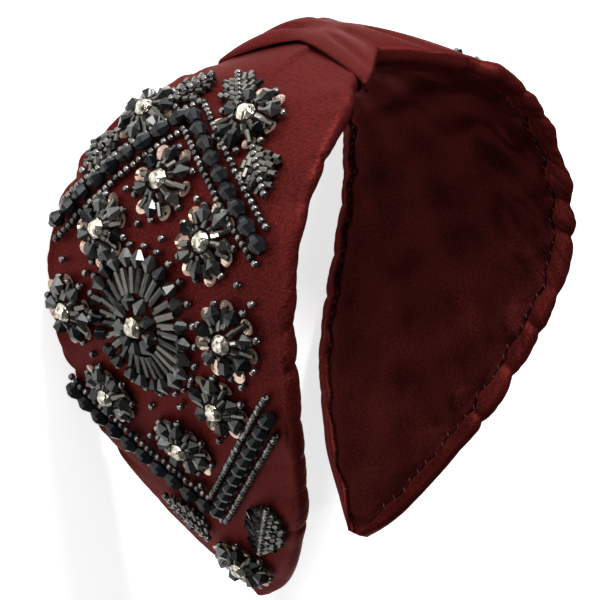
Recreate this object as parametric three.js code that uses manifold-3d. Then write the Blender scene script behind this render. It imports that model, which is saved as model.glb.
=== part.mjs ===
// Wide padded satin headband with a knot at the top and beadwork on both outer faces.
// It is drawn standing as it is worn (x from ear to ear, y across the band, z up, with the
// middle of the arch at the origin), and then laid on its back edge, as it rests by itself.
import * as THREE from 'three';
import { mergeVertices } from 'three/addons/utils/BufferGeometryUtils.js';
import Module from 'manifold-3d';

// Driving dimensions, in millimetres
const HALF_LENGTH = 187; // from the middle of the arch to a tip, along the band
const GAP = 0.35; // between pieces that touch
const FACE_RISE = 1.3; // padding above the edge line, just inside the edge
const CROWN = 1.9; // further rise of the padding in the middle of the band
const HEM_DEPTH = 2.7; // turned hem below the edge line
const RECESS_DEPTH = 1.6; // bed of the lining below the edge line
const LINING_WALL = 1.1;
const SEAM_INSET = 4.8; // lining seam, inside the edge
const LEAN_TOP = -0.09; // slope of the band across its width at the arch
const LEAN_TIP = 0.095; // and at the tips
const SPLIT_GAP = 0.4; // between the two covers under the knot
const LINING_END = 177.7; // where the lining stops, along the band
const REST_LEVEL = 39.2; // back edge pressed flat where the band lies on it
const GATHER_PITCH = 13; // between two pinches of the gathered edge
const GATHER_DEPTH = 1.1;
const GATHER_END = 150; // the lower ends are drawn smooth
const GATHER_FADE = 15;
const WRAP_WALL = 1.8; // cloth of the knot wrap
const WRAP_PUFF = 1.2; // extra fullness of the wrap over the crest
const WRAP_HALF_CREST = 12; // half width of the wrap at the crest
const WRAP_HALF_EDGE = 21; // and at the band's edges
const WRAP_SLACK = 0.4; // room inside the wrap under the hems
const PLEAT_HEIGHT = 1.3; // tuck where a cover enters the wrap
const PLEAT_START = 16; // where the tuck is full, along the band
const PLEAT_END = 32; // and where it has run out
const STONE_RADIUS = 2.4;
const CRYSTAL_RADIUS = 1.9;
const SEED_RADIUS = 1.0;

// How far the band has turned from the arch's middle, by share of the half length
const TURN = [
  { share: 0, degrees: 0 },
  { share: 0.2, degrees: 33 },
  { share: 0.4, degrees: 76 },
  { share: 0.6, degrees: 111 },
  { share: 0.8, degrees: 116.5 },
  { share: 1, degrees: 119 },
];

// Width of the band on the front and the back of its middle line
const WIDTH = [
  { share: 0, front: 14.5, back: 16 },
  { share: 0.12, front: 28, back: 21 },
  { share: 0.3, front: 35, back: 35.5 },
  { share: 0.5, front: 39.5, back: 40.5 },
  { share: 0.7, front: 32.5, back: 37 },
  { share: 0.88, front: 19, back: 22.5 },
  { share: 0.97, front: 9, back: 8 },
  { share: 1, front: 3, back: 2 },
];

// Beaded flowers of one half: along from the arch, across towards the back, petal reach
const FLOWERS = [
  { along: 39.5, across: -10, reach: 7.4 },
  { along: 44, across: 22, reach: 6.6 },
  { along: 60.5, across: 5, reach: 7.4 },
  { along: 75, across: 20.5, reach: 6.5 },
  { along: 70, across: -13, reach: 7.1 },
  { along: 96.5, across: 32, reach: 7.2 },
  { along: 89, across: -22, reach: 7.4 },
  { along: 119, across: 23.5, reach: 6.8 },
  { along: 108, across: -16.5, reach: 7 },
  { along: 127.5, across: 1.5, reach: 7.4 },
  { along: 172.5, across: 0, reach: 7.2 },
];

// Sunburst rosette in the middle of each half
const ROSETTE = { along: 92.5, across: 5, petals: 20, dish: 11.6, reach: 16.5 };

// Chevrons: apex of the inner row, which way the arms run along the band (heading), how far
// each arm runs along for a millimetre across, and where the arms end across the band
const CHEVRONS = [
  { name: 'upper', along: 47.5, across: 5.5, heading: 1, front: 0.68, back: 1.07, ends: [-29, 34.5] },
  { name: 'lower', along: 144.5, across: -1, heading: -1, front: 1.43, back: 0.65, ends: [-32, 32.5] },
];
const CHEVRON_ROWS = [
  { name: 'inner_seeds', offset: 0, radius: SEED_RADIUS },
  { name: 'crystals', offset: 3.1, radius: 1.75 },
  { name: 'outer_seeds', offset: 6.2, radius: SEED_RADIUS },
];

// Beaded leaves, from their base to their tip
const LEAVES = [
  { base: [35.5, -3.3], tip: [28.5, 4.2], half: 3.4 },
  { base: [39.2, 16.6], tip: [30.8, 12], half: 3.4 },
  { base: [47, -16], tip: [56.5, -27], half: 3.4 },
  { base: [50, 27.5], tip: [61.5, 33.5], half: 3.2 },
  { base: [162, -10], tip: [140, -20.5], half: 4.2 },
  { base: [164, 7.5], tip: [150.5, 18.5], half: 3.8 },
];

const SATIN = new THREE.MeshStandardMaterial({ color: 0x5e1519, roughness: 0.5, metalness: 0 });
const LINING = new THREE.MeshStandardMaterial({ color: 0x3c0c10, roughness: 0.6, metalness: 0 });
const GUNMETAL = new THREE.MeshStandardMaterial({ color: 0x3b3d42, roughness: 0.25, metalness: 0.8 });
const JET = new THREE.MeshStandardMaterial({ color: 0x17191d, roughness: 0.15, metalness: 0.2 });

const wasm = await Module();
wasm.setup();

// Smooth curve through one column of a table, with no overshoot between its rows
function through(rows, column) {
  const knots = rows.map((row) => row.share);
  const values = rows.map((row) => row[column]);
  const last = knots.length - 1;
  const steps = knots.slice(1).map((knot, i) => knot - knots[i]);
  const rises = steps.map((step, i) => (values[i + 1] - values[i]) / step);
  const slopes = knots.map((_, i) => {
    if (i === 0) return rises[0];
    if (i === last) return rises[last - 1];
    if (rises[i - 1] * rises[i] <= 0) return 0;
    const before = 2 * steps[i] + steps[i - 1];
    const after = steps[i] + 2 * steps[i - 1];
    return (before + after) / (before / rises[i - 1] + after / rises[i]);
  });
  return (share) => {
    let i = 0;
    while (i < last - 1 && share > knots[i + 1]) i += 1;
    const u = (share - knots[i]) / steps[i];
    const start = values[i] + u * u * (3 - 2 * u) * (values[i + 1] - values[i]);
    const bend = u * (1 - u) * ((1 - u) * slopes[i] - u * slopes[i + 1]);
    return start + steps[i] * bend;
  };
}

const turnAt = through(TURN, 'degrees');
const frontAt = through(WIDTH, 'front');
const backAt = through(WIDTH, 'back');

// Middle line of one half, summed from its turn at every half millimetre
const LINE_STEP = 0.5;
const line = [new THREE.Vector2(0, 0)];
for (let along = LINE_STEP / 2; along < HALF_LENGTH + 1; along += LINE_STEP) {
  const turn = THREE.MathUtils.degToRad(turnAt(Math.min(1, along / HALF_LENGTH)));
  const last = line.at(-1);
  line.push(new THREE.Vector2(last.x + LINE_STEP * Math.cos(turn), last.y - LINE_STEP * Math.sin(turn)));
}

// Point of the band: along from the arch (below 0 on the left), across, and out from the edge line
function place(along, across, out) {
  const length = Math.abs(along);
  const side = along < 0 ? -1 : 1;
  const share = length / HALF_LENGTH;
  const turn = THREE.MathUtils.degToRad(turnAt(Math.min(1, share)));
  const index = Math.min(line.length - 2, Math.floor(length / LINE_STEP));
  const middle = line[index].clone().lerp(line[index + 1], length / LINE_STEP - index);
  const raised = out + THREE.MathUtils.lerp(LEAN_TOP, LEAN_TIP, share) * across;
  const x = side * (middle.x + Math.sin(turn) * raised);
  return new THREE.Vector3(x, Math.min(across, REST_LEVEL), middle.y + Math.cos(turn) * raised);
}

// The covers are narrower where they pass through the knot wrap
function edges(along) {
  const share = Math.abs(along) / HALF_LENGTH;
  const inWrap = 1 - THREE.MathUtils.smoothstep(Math.abs(along), WRAP_HALF_EDGE + 1, WRAP_HALF_EDGE + 8);
  const drawn = inWrap * (WRAP_WALL + 2 * GAP);
  return { front: frontAt(share) - drawn, back: backAt(share) - drawn };
}

// Height of a cover's outer face over the edge line
function faceLevel(along, across) {
  const { front, back } = edges(along);
  const share = across / (across < 0 ? front : back);
  return FACE_RISE + CROWN * (1 - share * share);
}

// Solid through closed sections of equal count, each a list of [along, across, out]
function loft(sections) {
  const count = sections[0].length;
  const vertices = sections.flat().map(([along, across, out]) => place(along, across, out));
  const index = [];
  for (let row = 0; row < sections.length - 1; row += 1) {
    for (let i = 0; i < count; i += 1) {
      const a = row * count + i;
      const b = row * count + (i + 1) % count;
      index.push(a, a + count, b, b, a + count, b + count);
    }
  }
  const flat = (section) => section.map(([, across, out]) => new THREE.Vector2(across, out));
  const lastRow = (sections.length - 1) * count;
  for (const [a, b, c] of THREE.ShapeUtils.triangulateShape(flat(sections[0]), [])) index.push(a, c, b);
  for (const [a, b, c] of THREE.ShapeUtils.triangulateShape(flat(sections.at(-1)), [])) {
    index.push(lastRow + a, lastRow + b, lastRow + c);
  }
  const geometry = new THREE.BufferGeometry().setFromPoints(vertices);
  geometry.setIndex(index);
  return geometry;
}

// Padded satin cover of one half: crowned face, gathered rolled edges, and a bed for the lining
const FACE_SHARES = [-0.72, -0.42, -0.23, -0.17, 0.1, 0.4, 0.72];
const PLEAT_SHARE = -0.2;
const RIM_INSET = 0.7;
const RIM_DROP = 0.4;
const HEM_SHOULDER = 0.7; // share of the hem's depth where its round ends
const SEAM_SLOPE = 0.2;
const TIP_HEM_SHARE = 0.42; // most of the half width that a hem takes near the tips
const BED_CROWN = 0.15;
const LOWER_STATIONS = [157, 165, 172];
const TIP_STATIONS = [182, 185, HALF_LENGTH];

const hemScale = (width) => Math.min(1, (TIP_HEM_SHARE * width) / SEAM_INSET);

function coverSection(along, bed) {
  const { front, back } = edges(along);
  const gathered = 1 - THREE.MathUtils.smoothstep(along, GATHER_END - GATHER_FADE, GATHER_END);
  const emerged = THREE.MathUtils.smoothstep(along, WRAP_HALF_EDGE + 1, WRAP_HALF_EDGE + 8);
  const pinch = (phase) => Math.abs(Math.cos(Math.PI * (along / GATHER_PITCH + phase)));
  const pull = gathered * emerged * GATHER_DEPTH;
  const tuck = PLEAT_HEIGHT * (1 - THREE.MathUtils.smoothstep(along, PLEAT_START, PLEAT_END));
  const face = FACE_SHARES.map((share) => {
    const across = share * (share < 0 ? front : back);
    const raised = share > PLEAT_SHARE ? tuck * (1 - (share - PLEAT_SHARE)) : 0;
    return [along, across, faceLevel(along, across) + raised];
  });
  const edge = (width, side, phase) => {
    const scale = hemScale(width);
    const rim = width - pull * pinch(phase);
    const seam = width - SEAM_INSET * scale;
    return [
      [along, side * (rim - RIM_INSET * scale), FACE_RISE - RIM_DROP],
      [along, side * rim, 0],
      [along, side * (rim - RIM_INSET * scale), -HEM_SHOULDER * HEM_DEPTH],
      [along, side * (seam + SEAM_SLOPE * scale), -HEM_DEPTH],
      [along, side * seam, -bed],
    ];
  };
  const bedMiddle = [along, 0, -bed + BED_CROWN];
  return [...face, ...edge(back, 1, 0.5), bedMiddle, ...edge(front, -1, 0).reverse()];
}

function coverStations() {
  const stations = [SPLIT_GAP / 2];
  for (let along = GATHER_PITCH / 2; along < GATHER_END; along += GATHER_PITCH / 2) stations.push(along);
  return stations;
}

function coverGeometry() {
  const bedded = [...coverStations(), ...LOWER_STATIONS, LINING_END + GAP];
  const plain = [LINING_END + 3 * GAP, ...TIP_STATIONS];
  const sections = bedded.map((along) => coverSection(along, RECESS_DEPTH));
  return loft([...sections, ...plain.map((along) => coverSection(along, HEM_DEPTH - BED_CROWN))]);
}

// Lining: one sheet from tip to tip, set into the beds of both covers
function liningGeometry() {
  const half = [...coverStations().slice(1), ...LOWER_STATIONS, LINING_END];
  const stations = [...half.map((along) => -along).reverse(), 0, ...half];
  const sections = stations.map((along) => {
    const { front, back } = edges(along);
    const inset = (width) => width - SEAM_INSET * hemScale(width) - GAP;
    const outer = -RECESS_DEPTH - GAP;
    const inner = outer - LINING_WALL;
    return [
      [along, -inset(front), outer],
      [along, inset(back), outer],
      [along, inset(back), inner],
      [along, -inset(front), inner],
    ];
  });
  return loft(sections);
}

// Knot wrap: a puffed sleeve round the drawn-in middle, wider at the edges than at the crest
const WRAP_OUTER = [-1, -0.9, -0.6, -0.2, 0.2, 0.6, 0.9, 1];
const WRAP_INNER = [0.88, 0.45, 0, -0.45, -0.88];
const WRAP_COLUMNS = [-1, -0.62, -0.31, 0, 0.31, 0.62, 1];
const WRAP_FLARE = 1.3;
const WRAP_EDGE_LEVEL = -0.5;

function wrapGeometry() {
  const ring = [
    ...WRAP_OUTER.map((share) => ({ share, outside: true })),
    ...WRAP_INNER.map((share) => ({ share, outside: false })),
  ];
  const innerWall = -HEM_DEPTH - 2 * GAP - WRAP_SLACK;
  const halfAt = (share) => {
    return THREE.MathUtils.lerp(WRAP_HALF_CREST, WRAP_HALF_EDGE, Math.abs(share) ** WRAP_FLARE);
  };
  const point = ({ share, outside }, column, grown) => {
    const along = column * halfAt(share);
    const { front, back } = edges(along);
    const width = (share < 0 ? front : back) + 2 * GAP + grown * WRAP_WALL;
    const across = share * width;
    const puff = grown * (WRAP_WALL + WRAP_PUFF * (1 - column * column) * (1 - share * share));
    if (!outside) return place(along, across, innerWall - grown * WRAP_WALL);
    if (Math.abs(share) === 1) return place(along, across, WRAP_EDGE_LEVEL);
    const tuck = PLEAT_HEIGHT * (1 - PLEAT_SHARE - Math.abs(share));
    const covered = FACE_RISE + CROWN * (1 - share * share) + tuck;
    return place(along, across, covered + GAP + puff);
  };
  const vertices = [];
  for (const grown of [1, 0]) {
    for (const column of WRAP_COLUMNS) vertices.push(...ring.map((spot) => point(spot, column, grown)));
  }
  const count = ring.length;
  const columns = WRAP_COLUMNS.length;
  const index = [];
  const quad = (a, b, c, d) => index.push(a, c, b, b, c, d);
  for (let i = 0; i < count; i += 1) {
    const j = (i + 1) % count;
    for (let column = 0; column < columns - 1; column += 1) {
      const outer = column * count;
      const inner = (columns + column) * count;
      quad(outer + i, outer + j, outer + count + i, outer + count + j);
      quad(inner + j, inner + i, inner + count + j, inner + count + i);
    }
    const outerEnd = (columns - 1) * count;
    const innerStart = columns * count;
    const innerEnd = (2 * columns - 1) * count;
    quad(innerStart + i, innerStart + j, i, j);
    quad(outerEnd + i, outerEnd + j, innerEnd + i, innerEnd + j);
  }
  const geometry = new THREE.BufferGeometry().setFromPoints(vertices);
  geometry.setIndex(index);
  return geometry;
}

// Join overlapping closed shapes into one body
function fuse(geometries) {
  const solids = geometries.map((geometry) => {
    geometry.deleteAttribute('normal');
    geometry.deleteAttribute('uv');
    const merged = mergeVertices(geometry, 1e-4);
    const mesh = new wasm.Mesh({
      numProp: 3,
      vertProperties: merged.attributes.position.array,
      triVerts: new Uint32Array(merged.index.array),
    });
    return new wasm.Manifold(mesh);
  });
  const body = solids.reduce((whole, solid) => whole.add(solid)).getMesh();
  const geometry = new THREE.BufferGeometry();
  geometry.setAttribute('position', new THREE.BufferAttribute(body.vertProperties, 3));
  geometry.setIndex(new THREE.BufferAttribute(body.triVerts, 1));
  return geometry;
}

// Turned shape about +Z from [radius, height] pairs
function turned(profile, sides) {
  const points = profile.map(([radius, height]) => new THREE.Vector2(radius, height));
  return new THREE.LatheGeometry(points, sides).rotateX(Math.PI / 2);
}

// Round cut stone with a flat table over two rings of facets, its back at the given height
const CUT = { back: 0.9, girdle: 1.1, crown: 0.45, table: 0.58 }; // shares of its radius

function cutStone(radius, back, sides) {
  const girdle = back + CUT.girdle * radius;
  const top = girdle + CUT.crown * radius;
  const profile = [
    [0, back],
    [CUT.back * radius, back],
    [radius, girdle],
    [CUT.table * radius, top],
    [0, top],
  ];
  return turned(profile, sides);
}

// Six-sided bicone crystal lying outwards along +X
function bicone(from, to, radius, height) {
  const middle = (from + to) / 2;
  const shape = turned([[0, from - middle], [radius, 0], [0, to - middle]], 6);
  return shape.rotateY(Math.PI / 2).translate(middle, 0, height);
}

// Flower: a cut stone with six crystals as petals, their inner ends under the stone
const PETALS = 6;
const PETAL_ROOT = 1.6;

function flowerGeometry(reach) {
  const shapes = [cutStone(STONE_RADIUS, 0, PETALS)];
  for (let petal = 0; petal < PETALS; petal += 1) {
    const petalAngle = (2 * Math.PI * petal) / PETALS;
    shapes.push(bicone(PETAL_ROOT, reach, CRYSTAL_RADIUS, CRYSTAL_RADIUS).rotateZ(petalAngle));
  }
  return fuse(shapes);
}

// Rosette: a cut stone on a dish of bugle beads, in a ring of crystals
const DISH = { bottom: 0.2, rim: 2.3, crown: 3.4 }; // heights over the face
const ROSETTE_STONE = { radius: 2.7, back: 2, sides: 8 };
const ROSETTE_CRYSTAL = { radius: 1.7, height: 1.8, root: 0.6 };

function rosetteGeometry() {
  const { petals, dish, reach } = ROSETTE;
  const shapes = [
    turned([[0, DISH.bottom], [dish, DISH.bottom], [dish, DISH.rim], [0, DISH.crown]], petals),
    cutStone(ROSETTE_STONE.radius, ROSETTE_STONE.back, ROSETTE_STONE.sides),
  ];
  const { radius, height, root } = ROSETTE_CRYSTAL;
  for (let petal = 0; petal < petals; petal += 1) {
    const petalAngle = (2 * Math.PI * (petal + 0.5)) / petals;
    shapes.push(bicone(dish - root, reach, radius, height).rotateZ(petalAngle));
  }
  return fuse(shapes);
}

// Leaf: a low almond with sloping edges, along +X
const LEAF_BEVEL = { bevelThickness: 0.8, bevelSize: 0.6, bevelOffset: -0.6, bevelSegments: 1 };
const LEAF_BODY = 1.3;
const LEAF_BELLY = -0.1; // where it is widest, as a share of its length from the middle

function leafGeometry(length, half) {
  const outline = new THREE.Shape();
  outline.moveTo(-length / 2, 0);
  outline.quadraticCurveTo(LEAF_BELLY * length, 2 * half, length / 2, 0);
  outline.quadraticCurveTo(LEAF_BELLY * length, -2 * half, -length / 2, 0);
  const options = { depth: LEAF_BODY, steps: 1, curveSegments: 4, ...LEAF_BEVEL };
  return new THREE.ExtrudeGeometry(outline, options).translate(0, 0, LEAF_BEVEL.bevelThickness);
}

// Lay a shape on the outer face at a spot, bent to follow it, its +X turned from the along direction
function drape(geometry, along, across, angle = 0) {
  geometry.rotateZ(angle);
  const points = geometry.attributes.position;
  for (let i = 0; i < points.count; i += 1) {
    const a = along + points.getX(i);
    const b = across + points.getY(i);
    const spot = place(a, b, faceLevel(a, b) + GAP + points.getZ(i));
    points.setXYZ(i, spot.x, spot.y, spot.z);
  }
  return geometry;
}

// One row of a chevron: a string of beads from the front end over the apex to the back end
const STRING_LIFT = 0.15;
const STRING_STEP = 6; // length of a straight stretch of the string, in bead radii

function chevronRowGeometry(chevron, offset, radius) {
  const { heading, front, back } = chevron;
  const [frontEnd, backEnd] = chevron.ends;
  const shift = (offset * (Math.hypot(1, back) - Math.hypot(1, front))) / (front + back);
  const apexAcross = chevron.across + shift;
  const apexAlong = chevron.along - heading * (offset * Math.hypot(1, front) + front * shift);
  const spot = (across) => {
    const slope = across < apexAcross ? front : back;
    const along = apexAlong + heading * slope * Math.abs(across - apexAcross);
    return place(along, across, faceLevel(along, across) + radius + GAP + STRING_LIFT);
  };
  const step = STRING_STEP * radius;
  const points = [];
  for (const [from, to, slope] of [[frontEnd, apexAcross, front], [apexAcross, backEnd, back]]) {
    const pieces = Math.round(((to - from) * Math.hypot(1, slope)) / step);
    for (let i = 0; i < pieces; i += 1) points.push(spot(from + ((to - from) * i) / pieces));
  }
  points.push(spot(backEnd));
  const path = new THREE.CatmullRomCurve3(points);
  const section = new THREE.Shape().absarc(0, 0, radius, 0, 2 * Math.PI);
  const options = { steps: points.length - 1, curveSegments: 4, bevelEnabled: false, extrudePath: path };
  return new THREE.ExtrudeGeometry(section, options);
}

// Beadwork of one half, drawn on the right
function beadwork(side) {
  const beads = new THREE.Group();
  const add = (name, geometry, material) => {
    const mesh = new THREE.Mesh(geometry, material);
    mesh.name = `${side}_${name}`;
    beads.add(mesh);
  };
  FLOWERS.forEach(({ along, across, reach }, i) => {
    add(`flower_${i + 1}`, drape(flowerGeometry(reach), along, across), GUNMETAL);
  });
  add('rosette', drape(rosetteGeometry(), ROSETTE.along, ROSETTE.across), GUNMETAL);
  for (const chevron of CHEVRONS) {
    for (const { name, offset, radius } of CHEVRON_ROWS) {
      add(`${chevron.name}_${name}`, chevronRowGeometry(chevron, offset, radius), JET);
    }
  }
  LEAVES.forEach(({ base, tip, half }, i) => {
    const along = tip[0] - base[0];
    const across = tip[1] - base[1];
    const leaf = leafGeometry(Math.hypot(along, across), half);
    const laid = drape(leaf, (base[0] + tip[0]) / 2, (base[1] + tip[1]) / 2, Math.atan2(across, along));
    add(`leaf_${i + 1}`, laid, GUNMETAL);
  });
  return beads;
}

// The halves mirror each other over the knot
const worn = new THREE.Group();
for (const [side, mirror] of [['right', 1], ['left', -1]]) {
  const half = new THREE.Group();
  const cover = new THREE.Mesh(coverGeometry(), SATIN);
  cover.name = `${side}_cover`;
  half.add(cover, beadwork(side));
  half.scale.x = mirror;
  worn.add(half);
}

const lining = new THREE.Mesh(liningGeometry(), LINING);
lining.name = 'lining';
const wrap = new THREE.Mesh(wrapGeometry(), SATIN);
wrap.name = 'knot_wrap';
worn.add(lining, wrap);

// Lay the band on its back edge, with its lowest point at zero and its middle at the origin
worn.rotation.x = -Math.PI / 2;
const headband = new THREE.Group();
headband.add(worn);
headband.updateMatrixWorld(true);
const box = new THREE.Box3().setFromObject(headband, true);
const middle = box.getCenter(new THREE.Vector3());
worn.position.set(-middle.x, -middle.y, -box.min.z);

export default headband;
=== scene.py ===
import math

import bpy
import numpy as np
from mathutils import Matrix, Vector


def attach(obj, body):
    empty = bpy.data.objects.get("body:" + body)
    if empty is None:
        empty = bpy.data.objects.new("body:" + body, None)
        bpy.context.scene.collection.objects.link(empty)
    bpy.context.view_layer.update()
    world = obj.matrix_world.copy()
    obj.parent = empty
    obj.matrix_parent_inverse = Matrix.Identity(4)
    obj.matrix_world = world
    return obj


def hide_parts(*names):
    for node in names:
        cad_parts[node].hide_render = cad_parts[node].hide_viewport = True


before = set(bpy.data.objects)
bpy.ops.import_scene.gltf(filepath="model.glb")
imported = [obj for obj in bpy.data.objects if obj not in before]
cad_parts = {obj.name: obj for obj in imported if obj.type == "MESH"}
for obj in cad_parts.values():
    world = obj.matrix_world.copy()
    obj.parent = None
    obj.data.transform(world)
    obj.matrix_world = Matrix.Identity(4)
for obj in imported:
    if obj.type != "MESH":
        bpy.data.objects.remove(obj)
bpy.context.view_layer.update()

# Satin covers, left and right: pads of wadding under wine-red satin, crowned on the outer face.
# The satin is gathered over both edges and felled down inside, so the edges scallop and the
# hems twist like rope. At the top both covers run, tucked and drawn in, into the knot wrap.
MM = 0.001
HALF_LENGTH = 187.0  # millimetres, as all sizes along and across the band
ARCH_Y = 68.593  # where the middle of the arch lies in the frame
REST_LEVEL = 39.2  # the back edge is pressed flat where the band lies on it
LEAN_TOP, LEAN_TIP = -0.09, 0.095  # slope of the band across its width
TURN = ((0, 0), (0.2, 33), (0.4, 76), (0.6, 111), (0.8, 116.5), (1, 119))
FRONT = ((0, 14.5), (0.12, 28), (0.3, 35), (0.5, 39.5), (0.7, 32.5), (0.88, 19), (0.97, 9), (1, 3))
BACK = ((0, 16), (0.12, 21), (0.3, 35.5), (0.5, 40.5), (0.7, 37), (0.88, 22.5), (0.97, 8), (1, 2))
LINE_STEP = 0.5


def through(rows, share):
    """Smooth curve through (share, value) rows, with no overshoot between them."""
    knots, values = np.array(rows, dtype=float).T
    steps = np.diff(knots)
    rises = np.diff(values) / steps
    slopes = np.concatenate(([rises[0]], np.zeros(len(rises) - 1), [rises[-1]]))
    for i in range(1, len(rises)):
        if rises[i - 1] * rises[i] > 0:
            before = 2 * steps[i] + steps[i - 1]
            after = steps[i] + 2 * steps[i - 1]
            slopes[i] = (before + after) / (before / rises[i - 1] + after / rises[i])
    share = np.clip(share, 0, 1)
    i = np.clip(np.searchsorted(knots, share, side="right") - 1, 0, len(steps) - 1)
    u = (share - knots[i]) / steps[i]
    start = values[i] + u * u * (3 - 2 * u) * (values[i + 1] - values[i])
    return start + steps[i] * u * (1 - u) * ((1 - u) * slopes[i] - u * slopes[i + 1])


def ease(value, start, end):
    """0 before start, 1 after end, smooth between."""
    u = np.clip((value - start) / (end - start), 0, 1)
    return u * u * (3 - 2 * u)


line_at = np.arange(0, HALF_LENGTH + 8, LINE_STEP)
line_turn = np.radians(through(TURN, (line_at + LINE_STEP / 2) / HALF_LENGTH))
line_x = np.concatenate(([0], np.cumsum(LINE_STEP * np.cos(line_turn))[:-1]))
line_y = np.concatenate(([0], np.cumsum(-LINE_STEP * np.sin(line_turn))[:-1]))


def band(along, across, out):
    """Points in metres: along from the arch (below 0 on the left), across to the back, out."""
    along, across, out = np.broadcast_arrays(along, across, out)
    length = np.abs(along)
    turn = np.radians(through(TURN, length / HALF_LENGTH))
    raised = out + (LEAN_TOP + (LEAN_TIP - LEAN_TOP) * length / HALF_LENGTH) * across
    x = np.where(along < 0, -1, 1) * (np.interp(length, line_at, line_x) + np.sin(turn) * raised)
    y = np.interp(length, line_at, line_y) + np.cos(turn) * raised + ARCH_Y
    return MM * np.stack((x, y, REST_LEVEL - np.minimum(across, REST_LEVEL)), axis=-1)


FACE_RISE, CROWN, HEM_DEPTH = 1.3, 1.9, 2.7
SEAM_INSET = 4.8  # lining seam, inside the edge
TIP_HEM_SHARE = 0.42  # most of the half width that a hem takes near the tips
GAP = 0.35
WRAP_WALL, WRAP_HALF_CREST, WRAP_HALF_EDGE = 1.8, 12.0, 21.0


def edges(along):
    """Width of a cover in front of and behind its middle line."""
    length = np.abs(along)
    drawn = (1 - ease(length, WRAP_HALF_EDGE + 1, WRAP_HALF_EDGE + 8)) * (WRAP_WALL + 2 * GAP)
    return through(FRONT, length / HALF_LENGTH) - drawn, through(BACK, length / HALF_LENGTH) - drawn


def face_level(along, across):
    """Height of a cover's outer face over the edge line."""
    front, back = edges(along)
    share = across / np.where(across < 0, front, back)
    return FACE_RISE + CROWN * (1 - share**2)


SEAM_WANDER = ((0.55, 0.47, 0), (0.35, 0.83, 1))  # distance, waves along, phase


def seam_inset(along, width):
    """How far inside the edge the lining seam runs: a little uneven, and drawn in at the tips."""
    wander = sum(far * np.sin(waves * along + phase) for far, waves, phase in SEAM_WANDER)
    return np.minimum(SEAM_INSET + wander, TIP_HEM_SHARE * width)


LOBE_SHIFTS = ((2.2, 0.19, 1), (1.3, 0.43, 2.1))  # distance, waves along, share of the phase
LOBE_ROUND, LOBE_MEAN = 0.7, 0.6


def lobes(place, pitch, phase):
    """Soft lobes between sharp pinches, unevenly spaced and filled, about 1 high in all."""
    uneven = place
    for far, waves, part in LOBE_SHIFTS:
        uneven = uneven + far * np.sin(waves * place + part * phase)
    fullness = 0.8 + 0.3 * np.sin(0.11 * place + 1.7 * phase)
    return fullness * (np.abs(np.sin(np.pi * uneven / pitch + phase)) ** LOBE_ROUND - LOBE_MEAN)


STATIONS = 300
FACE_STEPS, ROLL_STEPS, HEM_STEPS, BED_STEPS = 54, 16, 9, 3
ROLL = 2.4  # how far in from the edge the roll starts
ROLL_WAY, SEAM_WAY = 3.5, 6.5  # way round from the outermost point to the roll's ends, and to the seam
HEM_PUFF, HEM_CALM, SEAM_SINK = 0.5, 0.75, 1.6
PLEAT_HEIGHT, PLEAT_SHARE, PLEAT_STEP = 0.9, -0.2, 0.03  # the tuck that runs out from under the wrap
PLEAT_START, PLEAT_END = 16, 32
GATHER_START, GATHER_FULL = 22, 30
GATHER_PITCH, GATHER_SLANT = 13.0, 0.45
FINE_PITCH, FINE_SLANT, FINE_DEPTH = 4.7, 1.4, 0.25
TIP_START, TIP_END, TIP_CALM = 138, 160, 0.85  # the gathers calm down towards the tips
FACE_REACH = 5.0  # how far the gathers run in over the face
FACE_DRIFTS = ((0.25, 0.16, 0.11, 1), (0.2, 0.29, -0.2, 2))  # height, waves along, across, phase
COVER_RING = FACE_STEPS + 2 * (ROLL_STEPS + HEM_STEPS + BED_STEPS) + 1


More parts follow.
